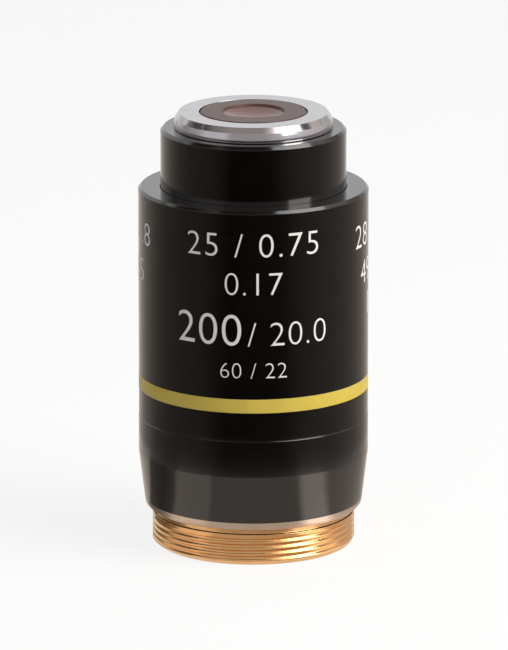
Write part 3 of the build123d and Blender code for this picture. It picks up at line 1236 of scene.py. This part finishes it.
@dataclass
class FrontEnd(SubAssembly):
    """Bright front ring, the cell of the front lens and the lens in it."""

    ring_hole: float = 6.68
    skirt_radius: float = 7.95
    bevel_width: float = 0.48
    bevel_height: float = 0.68
    # The rim leans in by this much over its upper part, with a long soft bend where it starts
    rim_lean: float = 0.16
    rim_lean_height: float = 0.68
    rim_bend: float = 3.5
    foot_rounding: float = 0.13
    cell_neck_radius: float = 6.62
    cell_flange_height: float = 0.7
    cell_chamfer: float = 0.25
    bezel_radius: float = 3.67
    bezel_depth: float = 0.25
    lens_fit: float = 0.02
    lens_rim: float = 0.8
    lens_top_curve: float = 16.0
    lens_bottom_curve: float = 13.5
    lens_rings: int = 24

    def _bright_ring(self) -> bpy.types.Object:
        """Builds the chromed ring with its leaning rim, its bevel and its skirt."""
        whole = Extent.of("front_ring")
        seat = Extent.of("barrel").top
        bevel_foot = whole.top - self.bevel_height
        lean_radius = whole.radius - self.rim_lean
        corners = (
            Corner(self.ring_hole, whole.bottom, EASED_EDGE),
            Corner(self.skirt_radius, whole.bottom, EASED_EDGE),
            Corner(self.skirt_radius, seat),
            Corner(whole.radius, seat, self.foot_rounding),
            Corner(whole.radius, bevel_foot - self.rim_lean_height, self.rim_bend),
            Corner(lean_radius, bevel_foot, POLISHED_EDGE),
            Corner(lean_radius - self.bevel_width, whole.top, EASED_EDGE),
            Corner(self.ring_hole, whole.top, EASED_EDGE),
        )
        return turn_piece("bright_front_ring", corners, [CHROME])

    def _cell(self, lens: Extent) -> bpy.types.Object:
        """Builds the cell, whose bezel holds the lens."""
        whole = Extent.of("front_lens_cell")
        neck_foot = whole.bottom + self.cell_flange_height
        rim = whole.top - self.bezel_depth
        lens_hole = lens.radius + self.lens_fit
        corners = (
            Corner(lens_hole, whole.bottom, DEBURRED_EDGE),
            Corner(whole.radius, whole.bottom, DEBURRED_EDGE),
            Corner(whole.radius, neck_foot, DEBURRED_EDGE),
            Corner(self.cell_neck_radius, neck_foot, DEBURRED_EDGE),
            Corner(self.cell_neck_radius, whole.top - self.cell_chamfer, EASED_EDGE),
            Corner(self.cell_neck_radius - self.cell_chamfer, whole.top, EASED_EDGE),
            Corner(self.bezel_radius + self.bezel_depth, whole.top, EASED_EDGE),
            Corner(self.bezel_radius, rim, CRISP_EDGE),
            Corner(lens_hole, rim, CRISP_EDGE),
        )
        return turn_piece("front_lens_bezel", corners, [BEZEL_PAINT])

    def _dish(self, vertex: float, curve: float, edge: float, facing: Facing) -> list[SectionPoint]:
        """Returns the points of one ground face from the axis to its edge.

        Args:
            vertex: Height of the face on the axis.
            curve: Radius of the sphere, whose centre lies above the vertex.
            edge: Radius at which the face ends.
            facing: Side on which the face meets the air.

        Returns:
            Points from the axis outward.
        """
        made = []
        for ring in range(self.lens_rings + 1):
            radius = edge * ring / self.lens_rings
            slope = math.asin(radius / curve)
            height = vertex + curve * (1 - math.cos(slope))
            outward = Vector((-math.sin(slope), math.cos(slope))) * facing.value
            made.append(SectionPoint(radius, height, outward, 0))
        return made

    def _lens(self, whole: Extent) -> bpy.types.Object:
        """Builds the front lens with its true ground faces."""
        rim = Extent.of("front_lens_cell").top - self.bezel_depth
        clear = whole.radius - self.lens_rim
        sag = self.lens_top_curve - math.sqrt(self.lens_top_curve**2 - clear**2)
        upper = self._dish(rim - sag, self.lens_top_curve, clear, Facing.UP)
        lower = self._dish(whole.bottom, self.lens_bottom_curve, whole.radius, Facing.DOWN)
        edge_height = lower[-1].height
        outward = Vector((1.0, 0.0))
        up = Vector((0.0, 1.0))
        sides = [
            SectionPoint(whole.radius, edge_height, outward, 0),
            SectionPoint(whole.radius, rim, outward, 0),
            SectionPoint(whole.radius, rim, up, 0),
            SectionPoint(clear, rim, up, 0),
        ]
        points = [*lower, *sides, *reversed(upper)]
        piece = TurnedPiece("front_lens_glass").add_section(points, closed=False)
        return piece.build([FRONT_GLASS])

    def build(self) -> None:
        """Builds the ring, the cell and the lens."""
        lens = Extent.of("front_lens")
        set_in_place(self._bright_ring(), "front_chrome", "front_ring")
        set_in_place(self._cell(lens), "blackened_brass", "front_lens_cell")
        set_in_place(self._lens(lens), "coated_glass", "front_lens")


@dataclass
class LensStack(SubAssembly):
    """Cells, spacers and lenses inside, whose solids keep their own shape and get their finish."""

    dull: tuple[str, ...] = (
        "second_group_cell",
        "third_group_cell",
        "rear_group_cell",
        "short_spacer",
        "long_spacer",
        "aperture_stop",
        "stack_lock_ring",
    )
    glass: tuple[str, ...] = (
        "second_group_flint_lens",
        "second_group_crown_lens",
        "third_group_crown_lens",
        "third_group_flint_lens",
        "rear_group_flint_lens",
        "rear_group_crown_lens",
    )

    def _dress(self, node: str, finish: Finish) -> None:
        """Gives one node its finish."""
        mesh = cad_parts[node].data
        mesh.materials.clear()
        mesh.materials.append(finish.material())
        log.info("%s: %s", node, finish.name)

    def build(self) -> None:
        """Dresses the nodes inside."""
        for node in self.dull:
            self._dress(node, BLACK_OXIDE)
        for node in self.glass:
            self._dress(node, INNER_GLASS)
        self._dress("parfocal_shim", BRASS)
        self._dress("centring_screws", BLACK_PLATED)


@dataclass(frozen=True)
class PaintedReflection:
    """Curved glowing band round the objective, a painted reflection: it lights nothing and only shows as
    a reflection in it.

    Azimuth 0 is toward the camera and 90 is to its right, in degrees. The profile holds the
    radius and the height of the screen's edges, in millimetres. Each stop is an azimuth and the
    screen's glow there, and between two stops the glow changes evenly.
    """

    name: str
    profile: tuple[tuple[float, float], ...]
    stops: tuple[tuple[float, float], ...]
    tint: str = "#FFF1E4"


@dataclass(frozen=True)
class Softbox:
    """Square softbox that points at the objective, hidden from the camera."""

    name: str
    azimuth: float
    elevation: float
    distance: float
    size: float
    radiance: float
    tint: str = "#FFFFFF"


@dataclass
class Studio:
    """White sweep with softboxes above, and glowing bands round the objective that are painted
    reflections.
    """

    floor_radius: float = 2500.0
    floor_colour: str = "#F2F2F2"
    white_share: float = 0.85
    fill: float = 0.32
    aim_height: float = 25.0
    reflection_step: float = 4.0
    painted_reflections: tuple[PaintedReflection, ...] = (
        # Lies on the table and ends at the horizon: what the upright black walls show
        PaintedReflection(
            "table_painted_reflection",
            ((52.5, 0.4), (450.0, 0.4), (450.0, 18.0)),
            (
                (-160.0, 0.85),
                (-130.0, 0.5),
                (-104.0, 0.25),
                (-80.0, 0.17),
                (-50.0, 0.12),
                (-26.0, 0.01),
                (24.0, 0.01),
                (50.0, 0.13),
                (80.0, 0.22),
                (104.0, 0.32),
                (130.0, 0.45),
                (160.0, 0.85),
            ),
        ),
        # Lies right at the foot of the thread: what the thread and the taper show
        PaintedReflection(
            "thread_painted_reflection",
            ((12.8, 0.3), (52.0, 0.3)),
            (
                (-160.0, 0.9),
                (-116.0, 0.8),
                (-112.0, 0.2),
                (-88.0, 0.15),
                (-74.0, 0.3),
                (-69.0, 0.95),
                (-37.0, 1.0),
                (-35.0, 0.6),
                (36.0, 0.6),
                (42.0, 1.9),
                (60.0, 1.9),
                (68.0, 0.7),
                (120.0, 0.6),
                (160.0, 0.9),
            ),
        ),
        # Stand above the horizon, left and right of the key softbox: what the chromed rim shows
        PaintedReflection(
            "left_rim_painted_reflection",
            ((450.0, 20.0), (440.0, 200.0)),
            (
                (-150.0, 1.0),
                (-133.0, 0.85),
                (-115.0, 0.4),
                (-104.0, 0.55),
                (-86.0, 0.6),
                (-70.0, 0.95),
                (-42.0, 0.95),
                (-32.0, 0.55),
                (14.0, 0.55),
                (44.0, 0.9),
            ),
            "#FFFAF6",
        ),
        PaintedReflection(
            "right_rim_painted_reflection",
            ((450.0, 20.0), (440.0, 200.0)),
            ((74.0, 1.0), (104.0, 0.95), (127.0, 0.8), (150.0, 0.65)),
            "#FFF6F4",
        ),
        # Lean in over those: what the chromed bevel shows
        PaintedReflection(
            "left_bevel_painted_reflection",
            ((430.0, 205.0), (400.0, 360.0)),
            ((-124.0, 0.6), (-118.0, 0.3), (-108.0, 0.12), (-88.0, 0.12), (-80.0, 0.6)),
        ),
        PaintedReflection(
            "bevel_painted_reflection",
            ((400.0, 366.0), (330.0, 440.0), (200.0, 490.0)),
            (
                (-112.0, 0.2),
                (-104.0, 0.08),
                (-90.0, 0.08),
                (-78.0, 0.33),
                (-60.0, 0.42),
                (-45.0, 0.5),
                (20.0, 0.48),
                (34.0, 0.9),
            ),
        ),
        # The brightest band: a painted highlight on the chromed bevel
        PaintedReflection(
            "key_bevel_painted_reflection",
            ((400.0, 366.0), (280.0, 480.0)),
            ((38.0, 1.0), (44.0, 3.0), (78.0, 4.0), (83.0, 1.0)),
        ),
        PaintedReflection(
            "right_bevel_painted_reflection",
            ((430.0, 205.0), (340.0, 430.0)),
            ((87.0, 0.08), (101.0, 0.08), (108.0, 1.0), (122.0, 0.9), (132.0, 0.5), (150.0, 0.3)),
        ),
        PaintedReflection("ceiling_painted_reflection", ((0.5, 560.0), (225.0, 560.0)), ((-180.0, 0.08), (180.0, 0.08))),
    )
    softboxes: tuple[Softbox, ...] = (
        Softbox("key_softbox", 62.0, 32.0, 600.0, 400.0, 8.0, "#FFF8EE"),
        Softbox("right_top_softbox", 84.0, 62.0, 500.0, 230.0, 3.2),
    )

    def _show(self, name: str, mesh: bpy.types.Mesh, material: bpy.types.Material) -> bpy.types.Object:
        """Adds a piece of the studio, which isn't part of the objective."""
        mesh.materials.append(material)
        made = bpy.data.objects.new(name, mesh)
        bpy.context.scene.collection.objects.link(made)
        return made

    def _painted_reflection_glow(self, screen: PaintedReflection) -> bpy.types.Material:
        """Returns the glow of a painted reflection, as its stops say."""
        made = bpy.data.materials.new(screen.name)
        made.use_nodes = True
        tree = made.node_tree
        tree.nodes.clear()
        glow = add_node(tree, "ShaderNodeAttribute", {"attribute_name": GLOW}).outputs["Fac"]
        light = add_node(
            tree, "ShaderNodeEmission", inputs={"Color": linear(screen.tint), "Strength": glow}
        )
        add_node(tree, "ShaderNodeOutputMaterial", inputs={"Surface": light.outputs[0]})
        return made

    def _seen(self, tree: bpy.types.NodeTree) -> bpy.types.NodeSocket:
        """Adds a switch that is 1 for what the camera sees, also in metal and through glass."""
        ray = add_node(tree, "ShaderNodeLightPath").outputs
        mirrored = add_node(
            tree,
            "ShaderNodeMath",
            {"operation": "MAXIMUM"},
            {0: ray["Is Glossy Ray"], 1: ray["Is Transmission Ray"]},
        )
        seen = add_node(
            tree,
            "ShaderNodeMath",
            {"operation": "MAXIMUM"},
            {0: ray["Is Camera Ray"], 1: mirrored.outputs[0]},
        )
        return seen.outputs[0]

    def _floor(self) -> None:
        """Lays the white floor, which keeps a trace of the objective's shadow."""
        made = bpy.data.materials.new("white_floor_paper")
        made.use_nodes = True
        tree = made.node_tree
        tree.nodes.clear()
        paper = add_node(tree, "ShaderNodeBsdfDiffuse", inputs={"Color": linear(self.floor_colour)})
        white = add_node(tree, "ShaderNodeEmission", inputs={"Strength": 1.0})
        share = add_node(
            tree, "ShaderNodeMath", {"operation": "MULTIPLY"}, {0: self._seen(tree), 1: self.white_share}
        )
        mixed = add_node(
            tree,
            "ShaderNodeMixShader",
            inputs={0: share.outputs[0], 1: paper.outputs[0], 2: white.outputs[0]},
        )
        add_node(tree, "ShaderNodeOutputMaterial", inputs={"Surface": mixed.outputs[0]})
        reach = self.floor_radius * MM
        mesh = bpy.data.meshes.new("floor")
        mesh.from_pydata(
            [(-reach, -reach, 0.0), (reach, -reach, 0.0), (reach, reach, 0.0), (-reach, reach, 0.0)],
            [],
            [(0, 1, 2, 3)],
        )
        self._show("floor", mesh, made)

    def _direction(self, azimuth: float, elevation: float = 0.0) -> Vector:
        """Returns the unit vector at an azimuth and an elevation in degrees."""
        turn = math.radians(azimuth)
        rise = math.radians(elevation)
        level = Vector((math.sin(turn), -math.cos(turn), 0.0)) * math.cos(rise)
        return level + Vector((0.0, 0.0, math.sin(rise)))

    def _steps(self, screen: PaintedReflection) -> list[tuple[float, float]]:
        """Returns close steps of azimuth and glow between a screen's stops."""
        made = [screen.stops[0]]
        for (start, dull), (end, bright) in zip(screen.stops, screen.stops[1:]):
            count = math.ceil((end - start) / self.reflection_step)
            for step in range(1, count + 1):
                share = step / count
                made.append((start + (end - start) * share, dull + (bright - dull) * share))
        return made

    def _hang_painted_reflection(self, screen: PaintedReflection) -> None:
        """Hangs one painted reflection, which only rays that leave a glossy surface meet."""
        steps = self._steps(screen)
        width = len(screen.profile)
        vertices = []
        for azimuth, _ in steps:
            for radius, height in screen.profile:
                place = self._direction(azimuth) * radius + Vector((0.0, 0.0, height))
                vertices.append(place * MM)
        faces = [
            (row + column, row + column + width, row + column + width + 1, row + column + 1)
            for row in range(0, (len(steps) - 1) * width, width)
            for column in range(width - 1)
        ]
        mesh = bpy.data.meshes.new(screen.name)
        mesh.from_pydata(vertices, [], faces)
        glow = mesh.attributes.new(GLOW, "FLOAT", "POINT")
        glow.data.foreach_set("value", [shine for _, shine in steps for _ in range(width)])
        made = self._show(screen.name, mesh, self._painted_reflection_glow(screen))
        made.visible_camera = False
        made.visible_diffuse = False
        made.visible_shadow = False

    def _hang_softbox(self, box: Softbox) -> None:
        """Hangs one softbox, whose power follows from its size and its radiance."""
        light = bpy.data.lights.new(box.name, "AREA")
        light.size = box.size * MM
        light.energy = box.radiance * math.pi * light.size**2
        light.color = linear(box.tint)[:3]
        lamp = bpy.data.objects.new(box.name, light)
        aim = Vector((0.0, 0.0, self.aim_height)) * MM
        toward = self._direction(box.azimuth, box.elevation)
        lamp.location = aim + toward * box.distance * MM
        lamp.rotation_euler = (-toward).to_track_quat("-Z", "Y").to_euler()
        lamp.visible_camera = False
        bpy.context.scene.collection.objects.link(lamp)

    def _world(self) -> None:
        """Makes the tent: white where it is seen, and a soft even light on the objective."""
        world = bpy.data.worlds.new("white_tent")
        world.use_nodes = True
        tree = world.node_tree
        tree.nodes.clear()
        strength = add_node(
            tree,
            "ShaderNodeMapRange",
            inputs={"Value": self._seen(tree), "To Min": self.fill, "To Max": 1.0},
        )
        light = add_node(tree, "ShaderNodeBackground", inputs={"Strength": strength.outputs[0]})
        light.inputs["Color"].default_value = linear("#FFFFFF")
        add_node(tree, "ShaderNodeOutputWorld", inputs={"Surface": light.outputs[0]})
        bpy.context.scene.world = world

    def build(self) -> None:
        """Builds the floor, the screens, the softboxes and the tent."""
        self._floor()
        for screen in self.painted_reflections:
            self._hang_painted_reflection(screen)
        for box in self.softboxes:
            self._hang_softbox(box)
        self._world()


@dataclass
class PhotographersCamera:
    """Long lens at the photograph's viewing angle."""

    elevation_deg: float = 14.45
    distance: float = 953.7
    target_height: float = 27.26
    focal_length: float = 428.3
    sensor: float = 36.0
    shift_x: float = 0.0009
    nearest_seen: float = 50.0
    farthest_seen: float = 20000.0

    def build(self) -> None:
        """Makes the camera the scene's own."""
        data = bpy.data.cameras.new("photographers_camera")
        data.sensor_width = self.sensor
        data.lens = self.focal_length
        data.shift_x = self.shift_x
        data.clip_start = self.nearest_seen * MM
        data.clip_end = self.farthest_seen * MM
        camera = bpy.data.objects.new("photographers_camera", data)
        rise = math.radians(self.elevation_deg)
        back = Vector((0.0, -math.cos(rise), math.sin(rise)))
        camera.location = (Vector((0.0, 0.0, self.target_height)) + back * self.distance) * MM
        camera.rotation_euler = (-back).to_track_quat("-Z", "Y").to_euler()
        bpy.context.scene.collection.objects.link(camera)
        bpy.context.scene.camera = camera


def main() -> None:
    """Builds the studio and the objective, in the order from the thread to the front lens."""
    bpy.context.scene.view_settings.view_transform = "Standard"
    PhotographersCamera().build()
    Studio().build()
    for part in (ThreadedMount(), BaseCollar(), OuterSleeve(), Nose(), FrontEnd(), LensStack()):
        log.info("building %s", type(part).__name__)
        part.build()


if __name__ == "__main__":
    main()
